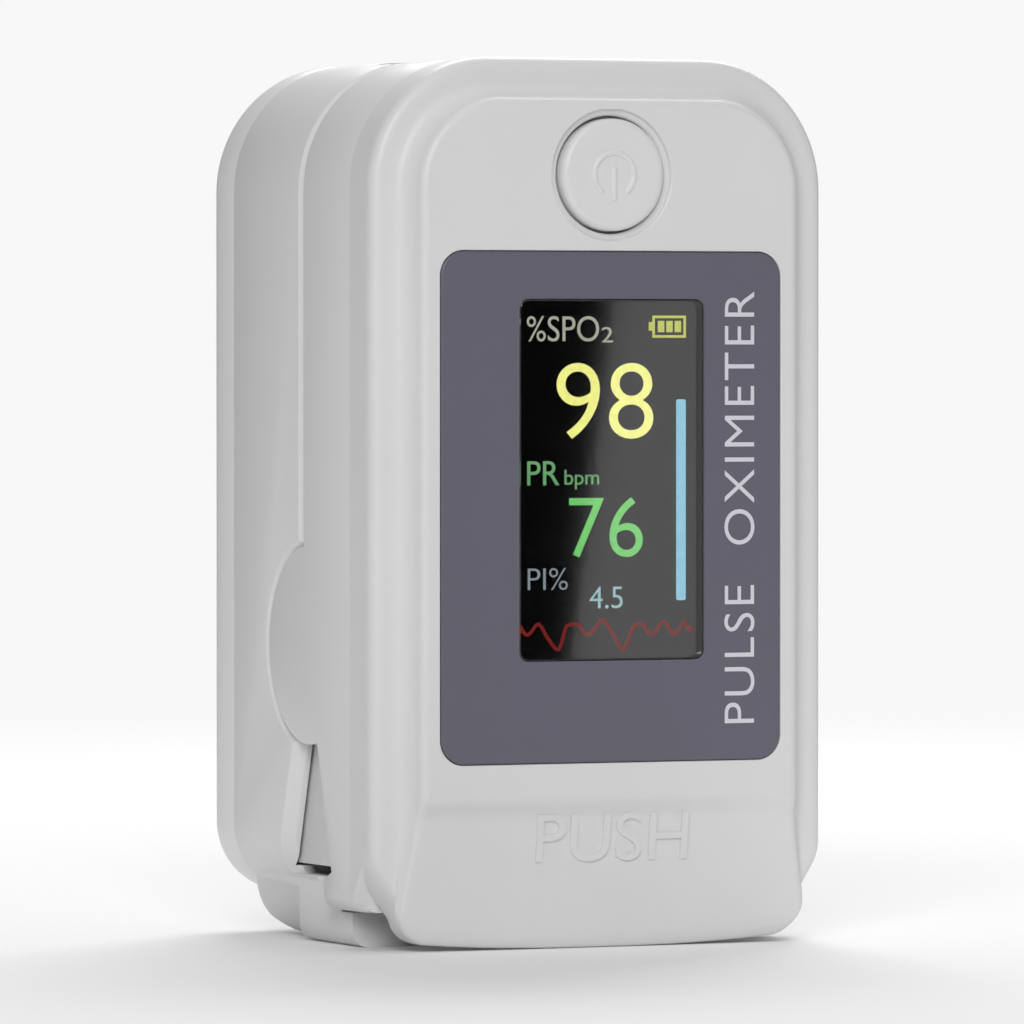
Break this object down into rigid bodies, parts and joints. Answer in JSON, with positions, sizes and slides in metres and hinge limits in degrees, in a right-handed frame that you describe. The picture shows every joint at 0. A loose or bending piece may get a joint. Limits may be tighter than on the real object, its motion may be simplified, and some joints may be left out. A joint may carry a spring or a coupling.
{
  "type": "fingertip pulse oximeter",
  "caption": "Clip-on fingertip pulse oximeter with a sprung clam-shell jaw, colour display, round power button and sliding battery cover.",
  "frame": {"origin": "middle of the underside, on the surface that the part stands on", "axes": "+Z from the tail to the finger end, -Y out of the display face, +Y out of the battery cover, X across the width"},
  "size_m": [0.0342, 0.0314, 0.061],
  "materials": {
    "white_abs": "satin moulded",
    "panel_print": "gloss printed sheet",
    "window_clear": "clear",
    "display_black": "polished glass face",
    "frame_black": "fine matte",
    "board_laminate": "solder mask",
    "chip_black": "moulded package",
    "screw_steel": "zinc plated",
    "pin_steel": "ground",
    "spring_steel": "drawn wire",
    "contact_nickel": "nickel plated",
    "pad_silicone": "matte silicone",
    "lens_clear": "clear red",
    "cell_wrap": "shrunk sleeve",
    "ribbon_film": "polyimide film",
    "wire_sleeve": "pvc sleeve"
  },
  "bodies": {
    "battery_unit": {"lower_housing": "white_abs", "lower_finger_pad": "pad_silicone", "emitter_board": "board_laminate", "emitter_window": "lens_clear", "back_shell": "white_abs", "battery_tray": "frame_black", "battery_left": "cell_wrap", "battery_right": "cell_wrap", "contact_plates": "contact_nickel", "contact_springs": "contact_nickel", "hinge_pin": "pin_steel", "torsion_spring_left": "spring_steel", "torsion_spring_right": "spring_steel", "back_screws": "screw_steel", "ribbon_lead": "ribbon_film", "battery_leads": "wire_sleeve"},
    "display_unit": {"front_cover": "white_abs", "upper_housing": "white_abs", "face_panel": "panel_print", "display_window": "window_clear", "display_module": "display_black", "display_frame": "frame_black", "main_board": "board_laminate", "board_components": "chip_black", "board_screws": "screw_steel", "case_screws": "screw_steel", "tact_switch": "frame_black", "upper_finger_pad": "pad_silicone", "receiver_board": "board_laminate", "receiver_window": "lens_clear"},
    "power_button": {"power_button": "white_abs", "switch_plunger": "frame_black"},
    "battery_cover": {"battery_cover": "white_abs"}
  },
  "joints": [
    {"name": "clamp_hinge", "type": "hinge", "parent": "battery_unit", "child": "display_unit", "pos_m": [0, -0.0026, 0.02066], "axis": [1, 0, 0], "range_deg": [0, 10], "stiffness_Nm_per_rad": 0.2, "springref_deg": -14.32, "deforming": ["torsion_spring_left", "torsion_spring_right", "ribbon_lead"]},
    {"name": "power_button_press", "type": "slide", "parent": "display_unit", "child": "power_button", "axis": [0, 1, 0], "range_m": [0, 0.0004], "stiffness_N_per_m": 2000, "springref_m": -0.0004},
    {"name": "battery_cover_slide", "type": "slide", "parent": "battery_unit", "child": "battery_cover", "axis": [0, 0, 1], "range_m": [0, 0.055]}
  ]
}
